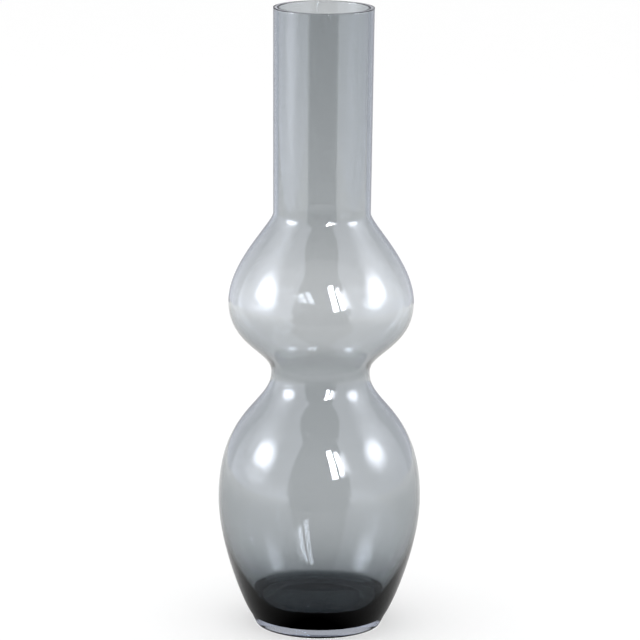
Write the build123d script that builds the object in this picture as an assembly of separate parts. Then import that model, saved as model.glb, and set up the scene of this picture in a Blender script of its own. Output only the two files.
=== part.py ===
from build123d import *
import math
import os

# Double gourd vase of blown glass, in millimetres, +Z up.
# The origin is the middle of the ring that it stands on.
# A smoke grey bubble holds the flowers, and a clear glass foot is fused under its thick floor.

# Heights, stacked from the table up
foot_height = 8.0            # table to the seam between foot and body
lower_belly_rise = 96.0      # seam to the widest circle of the lower bulb
lower_shoulder_rise = 103.3  # that circle to the waist
upper_belly_rise = 56.9      # waist to the widest circle of the upper bulb
upper_shoulder_rise = 72.2   # that circle to the base of the neck
neck_rise = 163.6            # base of the neck to the lip

# Outside radii
foot_radius = 50.4
seam_radius = 54.4
lower_bulb_radius = 81.2
waist_radius = 39.4
upper_bulb_radius = 73.9
neck_base_radius = 38.7
lip_radius = 39.8            # the neck flares a little towards the lip

# Lean of the outside at the seam, from upright, in degrees
seam_lean = 35.4

# How far each curve holds the direction of its end, as a share of its rise
seam_hold = 0.133
lower_belly_hold = 0.383
lower_shoulder_hold = 0.694
waist_hold_below = 0.278
waist_hold_above = 0.320
upper_belly_hold = 0.596
upper_shoulder_hold = 0.440
neck_base_hold = 0.126

# Thickness of the glass, measured level. The bulbs were blown thinner than the neck.
lower_bulb_wall = 2.9
waist_wall = 2.9
upper_bulb_wall = 1.9
neck_base_wall = 2.9

# Thick floor of the body, dished, with a shallow print left by the tool in the middle
floor_thickness = 13.2       # seam to the floor around that print
floor_dish = 1.9             # rise from there to the floor's edge
floor_radius = 54.0
floor_edge_lean = 33.5       # lean of the wall where it meets the floor, in degrees
floor_wall_hold = 0.40       # share of the inside rise held upright under the bulb
floor_edge_hold = 0.24       # share of the inside rise held at the floor's edge
floor_corner_round = 4.5
floor_print_radius = 11.5
floor_print_depth = 0.6

# Edges and underside
lip_round = 0.9
foot_round = 1.5
ring_width = 11.0            # flat ground ring that meets the table
punt_depth = 2.0             # hollow inside that ring

# A quarter circle's handle is this share of its radius, so an inside curve follows the outside one
quarter_circle_handle = 0.5523

seam_z = foot_height
lower_bulb_z = seam_z + lower_belly_rise
waist_z = lower_bulb_z + lower_shoulder_rise
upper_bulb_z = waist_z + upper_belly_rise
neck_base_z = upper_bulb_z + upper_shoulder_rise
lip_z = neck_base_z + neck_rise
neck_bore_radius = neck_base_radius - neck_base_wall


def at(radius, height):
    """Point of the half profile, which lies in the XZ plane."""
    return Vector(radius, 0, height)


def leaning(degrees):
    """Direction that goes up and out, leaning from upright by an angle."""
    return Vector(math.sin(math.radians(degrees)), 0, math.cos(math.radians(degrees)))


def swell(low, low_handle, high, high_handle, low_lean=0.0):
    """Curve from a low point to a high one, upright at its top and leaning out at its foot."""
    return Bezier(
        low,
        low + leaning(low_lean) * low_handle,
        high - Vector(0, 0, high_handle),
        high,
    )


def gourd_curves(lower_wall, hollow_wall, upper_wall, neck_wall):
    """Lower shoulder, upper belly and upper shoulder, moved in by the wall at each station."""
    lower_bulb = at(lower_bulb_radius - lower_wall, lower_bulb_z)
    waist = at(waist_radius - hollow_wall, waist_z)
    upper_bulb = at(upper_bulb_radius - upper_wall, upper_bulb_z)
    neck_base = at(neck_base_radius - neck_wall, neck_base_z)
    lower_bulge = quarter_circle_handle * lower_wall
    hollow = quarter_circle_handle * hollow_wall
    upper_bulge = quarter_circle_handle * upper_wall
    crease = quarter_circle_handle * neck_wall
    lower_shoulder = swell(
        lower_bulb, lower_shoulder_hold * lower_shoulder_rise - lower_bulge,
        waist, waist_hold_below * lower_shoulder_rise + hollow,
    )
    upper_belly = swell(
        waist, waist_hold_above * upper_belly_rise + hollow,
        upper_bulb, upper_belly_hold * upper_belly_rise - upper_bulge,
    )
    upper_shoulder = swell(
        upper_bulb, upper_shoulder_hold * upper_shoulder_rise - upper_bulge,
        neck_base, neck_base_hold * upper_shoulder_rise + crease,
    )
    return [lower_shoulder, upper_belly, upper_shoulder]


def make_body():
    """Blown bubble: neck with a straight bore, two bulbs and a thick dished floor."""
    seam_edge = at(seam_radius, seam_z)
    lower_bulb = at(lower_bulb_radius, lower_bulb_z)
    lower_belly = swell(
        seam_edge, seam_hold * lower_belly_rise,
        lower_bulb, lower_belly_hold * lower_belly_rise,
        low_lean=seam_lean,
    )
    outside = [lower_belly] + gourd_curves(0, 0, 0, 0)

    floor_z = seam_z + floor_thickness
    print_middle = at(0, floor_z - floor_print_depth)
    print_edge = at(floor_print_radius, floor_z)
    floor_edge = at(floor_radius, floor_z + floor_dish)
    inside_bulb = at(lower_bulb_radius - lower_bulb_wall, lower_bulb_z)
    inside_rise = inside_bulb.Z - floor_edge.Z
    floor_wall = swell(
        floor_edge, floor_edge_hold * inside_rise,
        inside_bulb, floor_wall_hold * inside_rise,
        low_lean=floor_edge_lean,
    )
    floor_print = TangentArc(print_middle, print_edge, tangent=Vector(1, 0, 0))
    floor = TangentArc(print_edge, floor_edge, tangent=Vector(1, 0, 0))
    inside = [floor_print, floor, floor_wall] + gourd_curves(
        lower_bulb_wall, waist_wall, upper_bulb_wall, neck_base_wall
    )

    lip_outside = at(lip_radius, lip_z)
    lip_inside = at(neck_bore_radius, lip_z)
    closing = [
        Line(at(0, seam_z), seam_edge),
        Line(at(neck_base_radius, neck_base_z), lip_outside),
        Line(lip_outside, lip_inside),
        Line(lip_inside, at(neck_bore_radius, neck_base_z)),
        Line(print_middle, at(0, seam_z)),
    ]
    body = revolve(make_face(outside + inside + closing), axis=Axis.Z)

    lip_edges = body.edges().group_by(Axis.Z)[-1]
    body = fillet(lip_edges, lip_round)
    corner = body.edges().filter_by(GeomType.CIRCLE).sort_by_distance(floor_edge)[0]
    return fillet(corner, floor_corner_round)


def make_foot():
    """Clear pad with a ground ring to stand on and a shallow hollow inside the ring."""
    seam_edge = at(seam_radius, seam_z)
    table_edge = at(foot_radius, 0)
    ring_inside = at(foot_radius - foot_round - ring_width, 0)
    punt_top = at(0, punt_depth)
    foot = revolve(
        make_face([
            Line(at(0, seam_z), seam_edge),
            Line(seam_edge, table_edge),
            Line(table_edge, ring_inside),
            TangentArc(punt_top, ring_inside, tangent=Vector(1, 0, 0)),
            Line(punt_top, at(0, seam_z)),
        ]),
        axis=Axis.Z,
    )
    bottom_edge = foot.edges().filter_by(GeomType.CIRCLE).sort_by_distance(table_edge)[0]
    return fillet(bottom_edge, foot_round)


smoke_glass_body = make_body()
clear_glass_foot = make_foot()

os.makedirs("parts", exist_ok=True)
export_step(smoke_glass_body, "parts/smoke_glass_body.step")
export_step(clear_glass_foot, "parts/clear_glass_foot.step")

for name, solid in (("smoke_glass_body", smoke_glass_body), ("clear_glass_foot", clear_glass_foot)):
    print(name, "volume", round(solid.volume / 1000, 1), "cm3")
print("overall height", round(lip_z, 1), "neck bore radius", round(neck_bore_radius, 2))
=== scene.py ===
"""Looks of a double gourd vase: a smoke grey blown glass body on a clear glass foot, in a white studio."""

import math
from typing import NamedTuple

import bpy
from bpy.props import FloatProperty, FloatVectorProperty, IntProperty, PointerProperty
from mathutils import Matrix, Vector


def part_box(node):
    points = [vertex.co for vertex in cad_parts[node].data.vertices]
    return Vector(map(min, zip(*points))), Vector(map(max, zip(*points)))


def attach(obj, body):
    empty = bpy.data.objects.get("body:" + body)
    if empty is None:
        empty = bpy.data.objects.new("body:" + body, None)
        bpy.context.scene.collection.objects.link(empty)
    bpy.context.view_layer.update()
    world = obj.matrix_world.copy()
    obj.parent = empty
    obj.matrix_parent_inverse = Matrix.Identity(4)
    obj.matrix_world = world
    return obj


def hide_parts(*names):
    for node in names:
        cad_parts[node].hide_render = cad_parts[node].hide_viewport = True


bl_info = {
    "name": "Double gourd vase",
    "version": (1, 0, 0),
    "blender": (4, 5, 0),
    "location": "View3D > Sidebar > Gourd vase",
    "description": "Blows the vase's smoke glass body, adds its clear foot and lights it",
    "category": "Object",
}

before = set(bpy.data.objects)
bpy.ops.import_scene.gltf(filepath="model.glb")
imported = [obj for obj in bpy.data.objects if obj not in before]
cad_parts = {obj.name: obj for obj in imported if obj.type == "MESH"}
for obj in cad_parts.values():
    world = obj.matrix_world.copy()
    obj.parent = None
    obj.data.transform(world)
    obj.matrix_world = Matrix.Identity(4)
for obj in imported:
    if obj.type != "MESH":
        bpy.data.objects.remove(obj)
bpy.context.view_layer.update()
BODY_LOW, BODY_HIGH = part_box("smoke_glass_body")
FOOT_LOW, FOOT_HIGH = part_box("clear_glass_foot")
MM = 0.001

# A quarter circle's handle is this share of its radius, so an inside curve follows the outside one
QUARTER_CIRCLE_HANDLE = 0.5523

# How close points lie that are merged, and how close to a circle its own points lie
MERGE_DISTANCE = 0.002 * MM
NEAR_CIRCLE = 0.01 * MM

# An edge that turns by more than this stays sharp
SHARP_TURN = math.radians(35)

# Places on a card, in its own UV map
HALF_CARD = 0.5
MIDDLE = (HALF_CARD, HALF_CARD)
LEFT_EDGE = (0, HALF_CARD)


def length(name, description, default):
    """A size in metres that the sidebar shows."""
    return FloatProperty(name=name, description=description, default=default, unit="LENGTH", precision=4)


def share(name, description, default):
    """A plain share or strength."""
    return FloatProperty(name=name, description=description, default=default, precision=3)


def angle(name, description, degrees):
    """An angle, written in degrees and kept in radians."""
    return FloatProperty(name=name, description=description, default=math.radians(degrees), subtype="ANGLE")


def colour(name, description, default):
    """A linear colour."""
    return FloatVectorProperty(
        name=name, description=description, default=default, subtype="COLOR", size=3, min=0, max=1
    )


def count(name, description, default):
    """A number of steps."""
    return IntProperty(name=name, description=description, default=default, min=4)


class GourdSizes(bpy.types.PropertyGroup):
    """Outline of the vase: heights and radii of its stations, and how full each curve is."""

    lower_bulb_z: length("Lower bulb height", "Height of the lower bulb's widest circle", 104.0 * MM)
    waist_z: length("Waist height", "Height of the narrowest circle between the bulbs", 207.3 * MM)
    upper_bulb_z: length("Upper bulb height", "Height of the upper bulb's widest circle", 264.2 * MM)
    neck_base_z: length("Neck base height", "Height of the crease under the neck", 336.4 * MM)
    seam_radius: length("Seam radius", "Radius where the body meets the foot", FOOT_HIGH.x)
    lower_bulb_radius: length("Lower bulb radius", "Greatest radius of the lower bulb", BODY_HIGH.x)
    waist_radius: length("Waist radius", "Least radius between the bulbs", 39.4 * MM)
    upper_bulb_radius: length("Upper bulb radius", "Greatest radius of the upper bulb", 73.9 * MM)
    neck_base_radius: length("Neck base radius", "Radius of the crease under the neck", 38.7 * MM)
    lip_radius: length("Lip radius", "Outside radius of the lip", 39.8 * MM)
    seam_lean: angle("Seam lean", "Lean of the outside where it meets the foot", 35.4)
    seam_hold: share("Seam hold", "Share of its rise that the wall keeps the seam's lean", 0.133)
    lower_belly_hold: share("Lower belly hold", "Fullness under the lower bulb's widest circle", 0.383)
    lower_shoulder_hold: share("Lower shoulder hold", "Fullness above that circle", 0.694)
    waist_hold_below: share("Waist hold below", "Length of the waist's lower curve", 0.278)
    waist_hold_above: share("Waist hold above", "Length of the waist's upper curve", 0.320)
    upper_belly_hold: share("Upper belly hold", "Fullness under the upper bulb's widest circle", 0.596)
    upper_shoulder_hold: share("Upper shoulder hold", "Fullness above that circle", 0.440)
    neck_base_hold: share("Neck base hold", "Softness of the crease under the neck", 0.126)
    lip_round: length("Lip rounding", "Fire polished rounding of the lip", 0.9 * MM)


class GlassWalls(bpy.types.PropertyGroup):
    """Thickness of the blown wall, its floor, and the shape of the clear foot."""

    lower_bulb_wall: length("Lower bulb wall", "Wall at the lower bulb", 2.9 * MM)
    waist_wall: length("Waist wall", "Wall at the waist", 2.9 * MM)
    upper_bulb_wall: length("Upper bulb wall", "Wall at the upper bulb", 1.9 * MM)
    neck_base_wall: length("Neck wall", "Wall at the base of the neck, whose bore is straight", 2.9 * MM)
    floor_thickness: length("Floor thickness", "Glass between the seam and the floor", 13.2 * MM)
    floor_dish: length("Floor dish", "Rise of the floor from its middle to its edge", 1.9 * MM)
    floor_radius: length("Floor radius", "Radius where floor and wall would meet", 54.0 * MM)
    floor_edge_lean: angle("Floor edge lean", "Lean of the wall where it meets the floor", 33.5)
    floor_wall_hold: share("Floor wall hold", "Share of the inside rise held upright", 0.40)
    floor_edge_hold: share("Floor edge hold", "Share of the inside rise held at the floor", 0.24)
    floor_corner_round: length("Floor corner", "Radius of the corner between floor and wall", 4.5 * MM)
    floor_print_radius: length("Floor print radius", "Radius of the tool's print in the floor", 11.5 * MM)
    floor_print_depth: length("Floor print depth", "Depth of the tool's print", 0.6 * MM)
    foot_radius: length("Foot radius", "Radius of the foot at the table", 50.4 * MM)
    foot_round: length("Foot rounding", "Rounding of the foot's lower edge", 1.5 * MM)
    ring_width: length("Ring width", "Width of the ground ring under the foot", 11.0 * MM)
    punt_depth: length("Punt depth", "Depth of the hollow inside the ring", 2.0 * MM)
    seam_lap: length("Seam lap", "How far the fused foot reaches into the body", 0.04 * MM)
    turn_steps: count("Turn steps", "Steps of each spin round the axis", 176)
    curve_steps: count("Curve steps", "Steps along each curve", 26)
    rounding_steps: count("Rounding steps", "Steps across each rounded edge", 6)


class GlassLook(bpy.types.PropertyGroup):
    """Optical values of the two glasses."""

    ior: share("Refractive index", "Refractive index of soda glass", 1.5)
    smoke_tint: colour("Smoke tint", "Colour that the smoke glass lets through", (0.228, 0.281, 0.311))
    smoke_density: share("Smoke density", "Absorption of the smoke glass for each metre", 202.0)
    clear_tint: colour("Clear tint", "Colour that thick clear glass lets through", (0.785, 0.797, 0.825))
    clear_density: share("Clear density", "Absorption of the clear glass for each metre", 44.0)
    ripple_depth: length("Ripple depth", "Depth of the waves left by blowing", 0.03 * MM)
    ripple_scale: share("Ripple scale", "Waves for each metre", 26.0)
    ripple_draw: share("Ripple draw", "Waves up the glass for each wave across it", 0.45)
    smudge: share("Smudge", "How much handling dulls the polish", 0.012)
    smear_scale: share("Smear scale", "Smears of handling for each metre", 42.0)
    smear_start: share("Smear start", "Noise at which a smear begins", 0.45)
    smear_full: share("Smear full", "Noise at which a smear is full", 0.75)
    ground_roughness: share("Ground roughness", "Roughness of the ground ring", 0.35)
    ground_reach: length("Ground reach", "Height over the table that the grinding reaches", 0.02 * MM)


class StudioSetup(bpy.types.PropertyGroup):
    """Camera, floor, lamp, and the brightness of the cards that the glass mirrors."""

    camera_distance: length("Camera distance", "Level distance from the axis", 2.900)
    camera_height: length("Camera height", "Height of the lens", 0.9017)
    camera_pitch: angle("Camera pitch", "How far the camera looks down", 12.68)
    camera_roll: angle("Camera roll", "Turn of the camera about its line of sight", 0.55)
    camera_aside: length("Camera aside", "How far the camera stands to the left", 0.78 * MM)
    lens: share("Lens", "Focal length in millimetres", 209.8)
    sensor: share("Sensor", "Width of the sensor in millimetres", 36.0)
    left_power: share("Left softbox", "Brightness of the left softbox", 18.0)
    right_power: share("Right softbox", "Brightness of the right softbox", 15.0)
    halo_power: share("Halo", "Brightness of the lit fabric round each softbox", 4.2)
    strip_power: share("Low strip", "Brightness of the low strip light on the left", 4.6)
    window_power: share("Window", "Brightness of the two panes by the camera", 60.0)
    window_glow: share("Window glow", "Brightness of the soft light beside the right pane", 16.0)
    fabric_tint: colour("Fabric tint", "Colour of the light from every card", (0.90, 0.92, 1.0))
    fabric_glow: share("Fabric", "Brightness of the white fabric on both sides", 1.9)
    foot_share: share("Foot share", "Share of a card's height over which its foot's light fades", 0.35)
    left_backdrop: share("Left backdrop", "Brightness of the backdrop's left half", 1.45)
    right_backdrop: share("Right backdrop", "Brightness of the backdrop's right half", 1.3)
    middle_backdrop: share("Middle backdrop", "Brightness of the backdrop's shaded middle", 0.55)
    room: share("Room", "Brightness of the dark room behind the camera", 0.06)
    lamp_power: share("Lamp", "Power of the overhead lamp in watts", 5.0)
    lamp_size: length("Lamp size", "Side of the overhead lamp", 1.6)
    lamp_aside: length("Lamp aside", "How far the lamp hangs to the left", 0.4)
    lamp_forward: length("Lamp forward", "How far the lamp hangs in front of the axis", 0.3)
    lamp_height: length("Lamp height", "Height of the lamp", 1.8)
    floor_size: length("Floor size", "Side of the floor", 16.0)
    floor_grain: share("Floor grain", "Specks of the floor for each metre", 30.0)
    floor_dark_tone: share("Floor dark tone", "Darkest tone of the floor's specks", 0.57)
    floor_pale_tone: share("Floor pale tone", "Palest tone of the floor's specks", 0.59)
    floor_glow: share("Floor glow", "Part of the floor's white that shadow doesn't reach", 0.435)
    # The floor's painted light and shade, which only reflections see
    floor_front: share("Floor in front", "Brightness of the floor before the vase in reflections", 0.40)
    floor_behind: share("Floor behind", "Brightness of the floor behind the vase in reflections", 1.0)
    floor_by_fabric: share("Floor by fabric", "Brightness of the floor by the fabric in reflections", 1.7)
    floor_front_end: length("Floor front end", "Place along Y where the floor in front ends", -0.30)
    floor_behind_end: length("Floor behind end", "Place along Y where the floor behind starts", 0.45)
    fabric_light_start: length("Fabric light start", "Distance aside where the fabric's light starts", 0.3)
    fabric_light_end: length("Fabric light end", "Distance aside where that light is full", 1.3)
    shade_aside: length("Shade aside", "How far the dark shade lies to the left of the axis", 0.002)
    shade_forward: length("Shade forward", "How far the dark shade lies in front of the axis", 0.045)
    shade_inner: length("Shade inner", "Radius of the dark shade by the foot", 0.025)
    shade_outer: length("Shade outer", "Radius where that shade ends", 0.170)
    # In reflections the floor's painted light ends at this front edge, and the aisle in front of it is
    # painted dark
    lit_floor_front: length("Lit floor front", "Distance from the axis to the front edge of the floor's painted light", 0.72)
    aisle: angle("Aisle", "Half the angle of the dark aisle in front of that edge", 34.0)
    table_gap: length("Table gap", "Air between the foot and the table", 0.15 * MM)


def sizes():
    """The outline's settings."""
    return bpy.context.scene.gourd_sizes


def walls():
    """The walls' and the foot's settings."""
    return bpy.context.scene.gourd_walls


def look():
    """The glasses' settings."""
    return bpy.context.scene.gourd_look


def studio():
    """The studio's settings."""
    return bpy.context.scene.gourd_studio


def deselect():
    """Leaves edit mode and selects nothing, as every operator here starts."""
    if bpy.context.object and bpy.context.object.mode != "OBJECT":
        bpy.ops.object.mode_set(mode="OBJECT")
    bpy.ops.object.select_all(action="DESELECT")


def knot(radius, height, into=(0, 0), out=(0, 0)):
    """A point of the half profile with its two handles. A handle of no length makes a straight run."""
    return {"at": (radius, height), "into": into, "out": out}


def leaning(lean, size):
    """Handle that goes up and out, leaning from upright."""
    return (math.sin(lean) * size, math.cos(lean) * size)


def gourd_knots(lower_wall, waist_wall, upper_wall, neck_wall):
    """Lower bulb, waist, upper bulb and neck base, from low to high, moved in by the wall at each."""
    s = sizes()
    lower_shoulder = s.waist_z - s.lower_bulb_z
    upper_belly = s.upper_bulb_z - s.waist_z
    upper_shoulder = s.neck_base_z - s.upper_bulb_z
    bend = QUARTER_CIRCLE_HANDLE
    return [
        knot(s.lower_bulb_radius - lower_wall, s.lower_bulb_z,
             out=(0, s.lower_shoulder_hold * lower_shoulder - bend * lower_wall)),
        knot(s.waist_radius - waist_wall, s.waist_z,
             into=(0, -s.waist_hold_below * lower_shoulder - bend * waist_wall),
             out=(0, s.waist_hold_above * upper_belly + bend * waist_wall)),
        knot(s.upper_bulb_radius - upper_wall, s.upper_bulb_z,
             into=(0, -s.upper_belly_hold * upper_belly + bend * upper_wall),
             out=(0, s.upper_shoulder_hold * upper_shoulder - bend * upper_wall)),
        knot(s.neck_base_radius - neck_wall, s.neck_base_z,
             into=(0, -s.neck_base_hold * upper_shoulder - bend * neck_wall)),
    ]


def turned_round(knots):
    """The same run of knots, walked the other way."""
    return [knot(*k["at"], into=k["out"], out=k["into"]) for k in reversed(knots)]


def arc_handle(run, rise):
    """Sweep and handle length of an arc that starts level and gains rise over run."""
    sweep = 2 * math.atan2(rise, run)
    return sweep, 4 / 3 * math.tan(sweep / 4) * run / math.sin(sweep)


def floor_knots():
    """Inside of the thick floor, from the wall to the middle: rounded corner, dish and the tool's print."""
    s, w = sizes(), walls()
    floor_z = BODY_LOW.z + w.floor_thickness
    edge = Vector((w.floor_radius, floor_z + w.floor_dish))
    hold = w.floor_edge_hold * (s.lower_bulb_z - edge.y)
    slope, _ = arc_handle(edge.x - w.floor_print_radius, w.floor_dish)
    turn = math.pi / 2 - w.floor_edge_lean - slope
    tangent = w.floor_corner_round * math.tan(turn / 2)
    bend = w.floor_corner_round * 4 / 3 * math.tan(turn / 4)
    up_wall = Vector(leaning(w.floor_edge_lean, 1))
    up_floor = Vector((math.cos(slope), math.sin(slope)))
    corner_top, corner_foot = edge + up_wall * tangent, edge - up_floor * tangent
    sweep, handle = arc_handle(corner_foot.x - w.floor_print_radius, corner_foot.y - floor_z)
    _, print_handle = arc_handle(w.floor_print_radius, w.floor_print_depth)
    return [
        knot(*corner_top, into=up_wall * (hold - tangent), out=-up_wall * bend),
        knot(*corner_foot, into=up_floor * bend,
             out=(-math.cos(sweep) * handle, -math.sin(sweep) * handle)),
        knot(w.floor_print_radius, floor_z, into=(handle, 0)),
        knot(0, floor_z - w.floor_print_depth, into=(print_handle, 0)),
    ]


def body_knots():
    """Half profile of the blown body: seam, outside, lip, bore, inside, floor."""
    s, w = sizes(), walls()
    seam_z = BODY_LOW.z
    belly_rise = s.lower_bulb_z - seam_z
    outside = gourd_knots(0, 0, 0, 0)
    outside[0]["into"] = (0, -s.lower_belly_hold * belly_rise)
    inside = turned_round(gourd_knots(w.lower_bulb_wall, w.waist_wall, w.upper_bulb_wall, w.neck_base_wall))
    floor_edge_z = seam_z + w.floor_thickness + w.floor_dish
    inside[-1]["out"] = (0, -w.floor_wall_hold * (s.lower_bulb_z - floor_edge_z))
    return [
        knot(0, seam_z),
        knot(s.seam_radius, seam_z, out=leaning(s.seam_lean, s.seam_hold * belly_rise)),
        *outside,
        knot(s.lip_radius, BODY_HIGH.z),
        knot(s.neck_base_radius - w.neck_base_wall, BODY_HIGH.z),
        *inside,
        *floor_knots(),
    ]


def foot_knots():
    """Half profile of the clear foot: seam, side, ground ring and punt."""
    s, w = sizes(), walls()
    ring_inside = w.foot_radius - w.foot_round - w.ring_width
    sweep, handle = arc_handle(ring_inside, w.punt_depth)
    return [
        knot(0, FOOT_HIGH.z + w.seam_lap),
        knot(s.seam_radius, FOOT_HIGH.z + w.seam_lap),
        knot(w.foot_radius, FOOT_LOW.z),
        knot(ring_inside, FOOT_LOW.z, out=(-math.cos(sweep) * handle, math.sin(sweep) * handle)),
        knot(0, FOOT_LOW.z + w.punt_depth, into=(handle, 0)),
    ]


def spin_profile(name, knots):
    """Draws a half profile as a Bezier curve, makes it a mesh and spins it round the axis."""
    deselect()
    bpy.ops.curve.primitive_bezier_curve_add(location=(0, 0, 0))
    piece = bpy.context.object
    piece.name = name
    piece.data.resolution_u = walls().curve_steps
    line = piece.data.splines[0]
    line.bezier_points.add(len(knots) - len(line.bezier_points))
    for point, k in zip(line.bezier_points, knots):
        r, z = k["at"]
        point.handle_left_type = point.handle_right_type = "FREE"
        point.co = (r, 0, z)
        point.handle_left = (r + k["into"][0], 0, z + k["into"][1])
        point.handle_right = (r + k["out"][0], 0, z + k["out"][1])
    bpy.ops.object.convert(target="MESH")
    bpy.ops.object.mode_set(mode="EDIT")
    bpy.ops.mesh.select_all(action="SELECT")
    bpy.ops.mesh.spin(steps=walls().turn_steps, angle=2 * math.pi, center=(0, 0, 0), axis=(0, 0, 1))
    bpy.ops.mesh.select_all(action="SELECT")
    bpy.ops.mesh.remove_doubles(threshold=MERGE_DISTANCE)
    bpy.ops.mesh.normals_make_consistent(inside=False)
    bpy.ops.object.mode_set(mode="OBJECT")
    piece.data.name = name
    return piece


def round_edges(piece, circles, width):
    """Bevels the edges that lie on circles given as radius and height."""
    deselect()
    bpy.context.view_layer.objects.active = piece
    piece.select_set(True)
    bpy.ops.object.mode_set(mode="EDIT")
    bpy.ops.mesh.select_mode(type="EDGE")
    bpy.ops.mesh.select_all(action="DESELECT")
    bpy.ops.object.mode_set(mode="OBJECT")

    def on_circle(vertex):
        return any(
            math.hypot(math.hypot(vertex.co.x, vertex.co.y) - radius, vertex.co.z - height) < NEAR_CIRCLE
            for radius, height in circles
        )

    marked = {v.index for v in piece.data.vertices if on_circle(v)}
    for edge in piece.data.edges:
        edge.select = all(i in marked for i in edge.vertices)
    bpy.ops.object.mode_set(mode="EDIT")
    bpy.ops.mesh.bevel(offset=width, segments=walls().rounding_steps, affect="EDGES")
    bpy.ops.object.mode_set(mode="OBJECT")


def smooth(piece):
    """Smooth shading that keeps true edges sharp."""
    deselect()
    bpy.context.view_layer.objects.active = piece
    piece.select_set(True)
    bpy.ops.object.shade_smooth_by_angle(angle=SHARP_TURN)


def plug(tree, socket, value):
    """Links an output to a socket, or writes a plain value on it."""
    if isinstance(value, bpy.types.NodeSocket):
        tree.links.new(value, socket)
    else:
        socket.default_value = value


def reckon(tree, operation, *values):
    """Output of a Math node."""
    node = tree.nodes.new("ShaderNodeMath")
    node.operation = operation
    for socket, value in zip(node.inputs, values):
        plug(tree, socket, value)
    return node.outputs["Value"]


def reckon_vector(tree, operation, *values):
    """Both outputs of a Vector Math node, Vector and Value."""
    node = tree.nodes.new("ShaderNodeVectorMath")
    node.operation = operation
    for socket, value in zip(node.inputs, values):
        plug(tree, socket, value)
    return node.outputs


def split(tree, vector):
    """The outputs X, Y and Z of a vector."""
    node = tree.nodes.new("ShaderNodeSeparateXYZ")
    plug(tree, node.inputs["Vector"], vector)
    return node.outputs


def ramp(tree, value, start, end, low, high, kind="LINEAR"):
    """Output that goes from low, where the value is at its start, to high at its end, and holds outside."""
    node = tree.nodes.new("ShaderNodeMapRange")
    node.interpolation_type = kind
    settings = {"Value": value, "From Min": start, "From Max": end, "To Min": low, "To Max": high}
    for name, setting in settings.items():
        plug(tree, node.inputs[name], setting)
    return node.outputs["Result"]


def noise(tree, place, scale, detail=2.0, roughness=0.5, distortion=0.0):
    """Output of a Noise Texture."""
    node = tree.nodes.new("ShaderNodeTexNoise")
    plug(tree, node.inputs["Vector"], place)
    plug(tree, node.inputs["Scale"], scale)
    node.inputs["Detail"].default_value = detail
    node.inputs["Roughness"].default_value = roughness
    node.inputs["Distortion"].default_value = distortion
    return node.outputs["Fac"]


def coordinate(tree, kind):
    """Object or UV coordinates of the surface."""
    return tree.nodes.new("ShaderNodeTexCoord").outputs[kind]


def blown_surface_group():
    """Node group with what blowing and handling leave on glass: slow waves, and a polish that varies."""
    group = bpy.data.node_groups.get("Blown surface")
    if group:
        return group
    v = look()
    group = bpy.data.node_groups.new("Blown surface", "ShaderNodeTree")
    for name in ("Wave scale", "Smudge", "Polish"):
        group.interface.new_socket(name=name, in_out="INPUT", socket_type="NodeSocketFloat")
    for name in ("Wave", "Roughness"):
        group.interface.new_socket(name=name, in_out="OUTPUT", socket_type="NodeSocketFloat")
    given = group.nodes.new("NodeGroupInput").outputs
    made = group.nodes.new("NodeGroupOutput").inputs
    place = coordinate(group, "Object")
    drawn_up = group.nodes.new("ShaderNodeMapping")
    drawn_up.inputs["Scale"].default_value = (1.0, 1.0, v.ripple_draw)
    plug(group, drawn_up.inputs["Vector"], place)
    waves = noise(group, drawn_up.outputs["Vector"], given["Wave scale"], detail=1.5, roughness=0.35)
    smears = noise(group, place, v.smear_scale, detail=5.0, distortion=0.6)
    dull = ramp(group, smears, v.smear_start, v.smear_full, 0.0, 1.0)
    plug(group, made["Wave"], waves)
    plug(group, made["Roughness"], reckon(group, "MULTIPLY_ADD", dull, given["Smudge"], given["Polish"]))
    return group


def glass_material(name, tint, density):
    """Blown glass: a Principled transmission surface, tinted by absorption inside."""
    v = look()
    material = bpy.data.materials.new(name)
    material.use_nodes = True
    nodes, links = material.node_tree.nodes, material.node_tree.links
    shader, output = nodes["Principled BSDF"], nodes["Material Output"]
    shader.inputs["Base Color"].default_value = (1, 1, 1, 1)
    shader.inputs["IOR"].default_value = v.ior
    shader.inputs["Transmission Weight"].default_value = 1.0
    surface = nodes.new("ShaderNodeGroup")
    surface.name = "Blown surface"
    surface.node_tree = blown_surface_group()
    surface.inputs["Wave scale"].default_value = v.ripple_scale
    surface.inputs["Smudge"].default_value = v.smudge
    bump = nodes.new("ShaderNodeBump")
    bump.inputs["Distance"].default_value = v.ripple_depth
    links.new(surface.outputs["Wave"], bump.inputs["Height"])
    links.new(bump.outputs["Normal"], shader.inputs["Normal"])
    links.new(surface.outputs["Roughness"], shader.inputs["Roughness"])
    inside = nodes.new("ShaderNodeVolumeAbsorption")
    inside.inputs["Color"].default_value = (*tint, 1)
    inside.inputs["Density"].default_value = density
    links.new(inside.outputs["Volume"], output.inputs["Volume"])
    return material


def grind_ring(material):
    """Makes the flat ring that the foot stands on matt, as grinding leaves it."""
    tree = material.node_tree
    height = split(tree, coordinate(tree, "Object"))["Z"]
    on_ring = reckon(tree, "LESS_THAN", height, FOOT_LOW.z + look().ground_reach)
    ground = reckon(tree, "MULTIPLY", on_ring, look().ground_roughness)
    tree.links.new(ground, tree.nodes["Blown surface"].inputs["Polish"])


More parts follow.
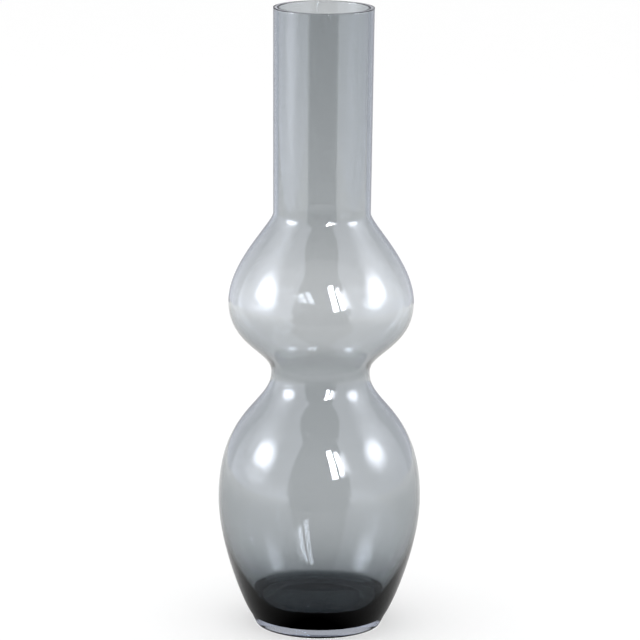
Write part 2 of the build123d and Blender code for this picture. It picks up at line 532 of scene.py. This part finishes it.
class GOURD_OT_smoke_body(bpy.types.Operator):
    """Blow the smoke glass body with its lip, neck, two bulbs and thick floor"""

    bl_idname = "gourd.smoke_body"
    bl_label = "Smoke glass body"

    def execute(self, context):
        s, w = sizes(), walls()
        body = spin_profile("smoke_glass_body_blown", body_knots())
        bore_radius = s.neck_base_radius - w.neck_base_wall
        round_edges(body, [(s.lip_radius, BODY_HIGH.z), (bore_radius, BODY_HIGH.z)], s.lip_round)
        smooth(body)
        smoke_glass = glass_material("smoke glass", look().smoke_tint, look().smoke_density)
        body.data.materials.clear()
        body.data.materials.append(smoke_glass)
        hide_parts("smoke_glass_body")
        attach(body, "root")
        return {"FINISHED"}


class GOURD_OT_clear_foot(bpy.types.Operator):
    """Add the clear glass foot with its leaning side, ground ring and punt"""

    bl_idname = "gourd.clear_foot"
    bl_label = "Clear glass foot"

    def execute(self, context):
        w = walls()
        foot = spin_profile("clear_glass_foot_pad", foot_knots())
        round_edges(foot, [(w.foot_radius, FOOT_LOW.z)], w.foot_round)
        smooth(foot)
        clear_glass = glass_material("clear glass", look().clear_tint, look().clear_density)
        grind_ring(clear_glass)
        foot.data.materials.clear()
        foot.data.materials.append(clear_glass)
        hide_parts("clear_glass_foot")
        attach(foot, "root")
        return {"FINISHED"}


def reflected(tree):
    """Output that is 1 for a ray that has bounced off glass at least once."""
    bounces = tree.nodes.new("ShaderNodeLightPath").outputs["Glossy Depth"]
    return reckon(tree, "GREATER_THAN", bounces, 0.5)


def show_by(tree, amount, first, second, output):
    """Shows the first shader, and the second by an amount from 0 to 1."""
    mix = tree.nodes.new("ShaderNodeMixShader")
    tree.links.new(amount, mix.inputs["Fac"])
    tree.links.new(first, mix.inputs[1])
    tree.links.new(second, mix.inputs[2])
    tree.links.new(mix.outputs["Shader"], tree.nodes[output].inputs["Surface"])


def glowing(tree, strength, tint=(1, 1, 1)):
    """Shader that gives off light."""
    glow = tree.nodes.new("ShaderNodeEmission")
    glow.inputs["Color"].default_value = (*tint, 1)
    plug(tree, glow.inputs["Strength"], strength)
    return glow.outputs["Emission"]


class Card(NamedTuple):
    """Plan of a light that only reflections see. It faces the vase, and its angles are in degrees."""

    name: str
    power: str                    # the studio setting that gives its brightness
    azimuth: float                # from the camera's side, positive to its right
    distance: float               # level, from the axis
    height: float                 # of its middle
    width: float
    tall: float
    lean: float = 0               # turn in its own plane
    soft_edge: float = 1.0        # share of its half width over which its glow fades
    is_round: bool = False
    brightest: tuple = MIDDLE     # place on the card that its fading is counted from
    foot: float = 1.0             # brightness at its foot, against the rest


CARDS = (
    Card("left softbox", "left_power", -77, 1.6, 0.88, 1.48, 1.44, is_round=True),
    Card("right softbox", "right_power", 79, 1.6, 0.95, 1.42, 1.38, is_round=True),
    Card("left halo", "halo_power", -85, 1.65, 1.18, 2.8, 2.8, is_round=True),
    Card("right halo", "halo_power", 88, 1.65, 1.22, 2.8, 2.8, is_round=True),
    Card("low strip", "strip_power", -80, 1.3, 0.27, 1.5, 0.52, is_round=True),
    Card("left pane", "window_power", 15.6, 1.0, 0.72, 0.130, 0.72, lean=8, soft_edge=0.12),
    Card("right pane", "window_power", 28.8, 1.0, 0.72, 0.24, 0.72,
         lean=8, soft_edge=0.7, brightest=LEFT_EDGE),
    Card("window glow", "window_glow", 41.3, 1.0, 0.72, 0.63, 0.72, lean=8, brightest=LEFT_EDGE),
    Card("left fabric", "fabric_glow", -80.5, 1.7, 1.6, 3.7, 4.4, lean=-9, soft_edge=0.03, foot=1.5),
    Card("right fabric", "fabric_glow", 80.5, 1.7, 1.6, 3.7, 4.4, lean=9, soft_edge=0.03, foot=0.95),
    Card("left backdrop", "left_backdrop", -152, 1.45, 1.3, 1.6, 2.6, soft_edge=0.02),
    Card("right backdrop", "right_backdrop", 152, 1.45, 1.3, 1.6, 2.6, soft_edge=0.02),
    Card("middle backdrop", "middle_backdrop", 180, 1.2, 0.2, 2.0, 1.5),
)


def card_material(plan):
    """Glow that fades towards the card's edges, and is clear to all but reflections."""
    v = studio()
    strength = getattr(v, plan.power)
    material = bpy.data.materials.new(plan.name)
    material.use_nodes = True
    tree = material.node_tree
    tree.nodes.remove(tree.nodes["Principled BSDF"])
    place = coordinate(tree, "UV")
    offset = reckon_vector(tree, "SUBTRACT", place, (*plan.brightest, 0))["Vector"]
    if plan.is_round:
        reach = reckon_vector(tree, "LENGTH", offset)["Value"]
    else:
        sides = split(tree, reckon_vector(tree, "ABSOLUTE", offset)["Vector"])
        reach = reckon(tree, "MAXIMUM", sides["X"], sides["Y"])
    fall = ramp(tree, reach, HALF_CARD * (1 - plan.soft_edge), HALF_CARD, 1.0, 0.0, "SMOOTHERSTEP")
    height = split(tree, place)["Y"]
    grade = ramp(tree, height, 0.0, v.foot_share, strength * plan.foot, strength, "SMOOTHSTEP")
    glow = glowing(tree, grade, v.fabric_tint)
    clear = tree.nodes.new("ShaderNodeBsdfTransparent").outputs["BSDF"]
    show_by(tree, reckon(tree, "MULTIPLY", reflected(tree), fall), clear, glow, "Material Output")
    return material


def hang_card(plan):
    """Stands a card round the vase, so that it faces the axis."""
    deselect()
    turn = math.radians(plan.azimuth)
    upright = Matrix.Rotation(turn, 3, "Z") @ Matrix.Rotation(math.pi / 2, 3, "X")
    pose = (upright @ Matrix.Rotation(math.radians(plan.lean), 3, "Z")).to_euler()
    spot = Vector((math.sin(turn) * plan.distance, -math.cos(turn) * plan.distance, plan.height))
    bpy.ops.mesh.primitive_plane_add(size=1, location=spot, rotation=pose)
    card = bpy.context.object
    card.name = plan.name.replace(" ", "_")
    card.scale = (plan.width, plan.tall, 1)
    bpy.ops.object.transform_apply(location=True, rotation=True, scale=True)
    card.data.materials.append(card_material(plan))
    card.visible_camera = False
    card.visible_diffuse = False
    card.visible_shadow = False


def painted_floor_reflection(tree, place):
    """Painted floor in reflections: painted shade at the foot, painted light by the fabrics, a dark aisle
    in front.
    """
    v = studio()
    # Painted shade round the foot, where reflections see the floor darker
    reach = reckon_vector(tree, "DISTANCE", place, (-v.shade_aside, -v.shade_forward, 0))["Value"]
    shade = ramp(tree, reach, v.shade_inner, v.shade_outer, 0.0, 1.0)
    across = split(tree, place)
    aside = reckon(tree, "ABSOLUTE", across["X"])
    # Painted light: the floor brighter behind the vase and out by the fabrics
    behind = ramp(tree, across["Y"], v.floor_front_end, v.floor_behind_end, v.floor_front, v.floor_behind)
    light = ramp(
        tree, aside, v.fabric_light_start, v.fabric_light_end, behind, v.floor_by_fabric, "SMOOTHSTEP"
    )
    # Painted darkness in the aisle beyond the front edge of the floor's painted light
    within_lit_front = reckon(tree, "GREATER_THAN", across["Y"], -v.lit_floor_front)
    aisle_side = reckon(tree, "MULTIPLY", across["Y"], -math.tan(v.aisle))
    beside_aisle = reckon(tree, "GREATER_THAN", aside, aisle_side)
    lit = reckon(tree, "MAXIMUM", within_lit_front, beside_aisle)
    return reckon(tree, "MULTIPLY", reckon(tree, "MULTIPLY", shade, light), lit)


def floor_material():
    """Pale floor that keeps the vase's shadow, with painted light and shade that only reflections see."""
    v = studio()
    material = bpy.data.materials.new("pale floor")
    material.use_nodes = True
    tree = material.node_tree
    shader = tree.nodes["Principled BSDF"]
    shader.inputs["Roughness"].default_value = 0.8
    shader.inputs["Specular IOR Level"].default_value = 0.1
    shader.inputs["Emission Color"].default_value = (1, 1, 1, 1)
    shader.inputs["Emission Strength"].default_value = v.floor_glow
    place = coordinate(tree, "Object")
    tone = ramp(tree, noise(tree, place, v.floor_grain), 0.0, 1.0, v.floor_dark_tone, v.floor_pale_tone)
    tree.links.new(tone, shader.inputs["Base Color"])
    # Emission that only reflections see: the floor's painted light and shade
    glow = glowing(tree, painted_floor_reflection(tree, place))
    show_by(tree, reflected(tree), shader.outputs["BSDF"], glow, "Material Output")
    return material


def lay_floor():
    """A wide floor, just under the ring that the vase stands on."""
    v = studio()
    deselect()
    bpy.ops.mesh.primitive_plane_add(size=v.floor_size, location=(0, 0, FOOT_LOW.z - v.table_gap))
    floor = bpy.context.object
    floor.name = "floor"
    floor.data.materials.append(floor_material())


def white_world():
    """White all round for what is seen directly or through glass, and a dim room in reflections."""
    world = bpy.data.worlds.new("studio")
    bpy.context.scene.world = world
    world.use_nodes = True
    tree = world.node_tree
    white = tree.nodes["Background"]
    white.inputs["Color"].default_value = (1, 1, 1, 1)
    room = tree.nodes.new("ShaderNodeBackground")
    room.inputs["Strength"].default_value = studio().room
    show_by(tree, reflected(tree), white.outputs["Background"], room.outputs["Background"], "World Output")


def hang_lamp():
    """Soft lamp overhead, which lights the floor and gives the vase its shadow."""
    v = studio()
    deselect()
    bpy.ops.object.light_add(type="AREA", location=(-v.lamp_aside, -v.lamp_forward, v.lamp_height))
    lamp = bpy.context.object
    lamp.name = "overhead_lamp"
    lamp.data.size = v.lamp_size
    lamp.data.energy = v.lamp_power
    lamp.visible_glossy = False
    lamp.visible_transmission = False


def place_camera():
    """Camera at the photograph's viewing angle."""
    v = studio()
    data = bpy.data.cameras.new("camera")
    data.lens = v.lens
    data.sensor_width = v.sensor
    camera = bpy.data.objects.new("camera", data)
    bpy.context.scene.collection.objects.link(camera)
    spot = Matrix.Translation((-v.camera_aside, -v.camera_distance, v.camera_height))
    tilt = Matrix.Rotation(math.pi / 2 - v.camera_pitch, 4, "X")
    camera.matrix_world = spot @ tilt @ Matrix.Rotation(v.camera_roll, 4, "Z")
    bpy.context.scene.camera = camera


class GOURD_OT_studio(bpy.types.Operator):
    """Set the pale floor, the cards that the glass mirrors, the lamp and the camera"""

    bl_idname = "gourd.studio"
    bl_label = "Studio"

    def execute(self, context):
        context.scene.view_settings.view_transform = "Standard"
        white_world()
        lay_floor()
        for plan in CARDS:
            hang_card(plan)
        hang_lamp()
        place_camera()
        return {"FINISHED"}


class GOURD_PT_sidebar(bpy.types.Panel):
    """Lists the vase's pieces and their settings"""

    bl_idname = "GOURD_PT_sidebar"
    bl_label = "Gourd vase"
    bl_space_type = "VIEW_3D"
    bl_region_type = "UI"
    bl_category = "Gourd vase"

    def draw(self, context):
        for operator in (GOURD_OT_smoke_body, GOURD_OT_clear_foot, GOURD_OT_studio):
            self.layout.operator(operator.bl_idname)
        for group in (sizes(), walls(), look(), studio()):
            column = self.layout.column()
            for name in group.bl_rna.properties.keys():
                if name not in ("rna_type", "name"):
                    column.prop(group, name)


GROUPS = {
    "gourd_sizes": GourdSizes,
    "gourd_walls": GlassWalls,
    "gourd_look": GlassLook,
    "gourd_studio": StudioSetup,
}
CLASSES = (*GROUPS.values(), GOURD_OT_smoke_body, GOURD_OT_clear_foot, GOURD_OT_studio, GOURD_PT_sidebar)


def register():
    """Adds the classes and their settings to Blender."""
    for cls in CLASSES:
        bpy.utils.register_class(cls)
    for name, group in GROUPS.items():
        setattr(bpy.types.Scene, name, PointerProperty(type=group))


def unregister():
    """Takes them away again."""
    for name in GROUPS:
        delattr(bpy.types.Scene, name)
    for cls in reversed(CLASSES):
        bpy.utils.unregister_class(cls)


def main():
    """Makes the vase and its studio."""
    register()
    bpy.ops.gourd.smoke_body()
    bpy.ops.gourd.clear_foot()
    bpy.ops.gourd.studio()


if __name__ == "__main__":
    main()
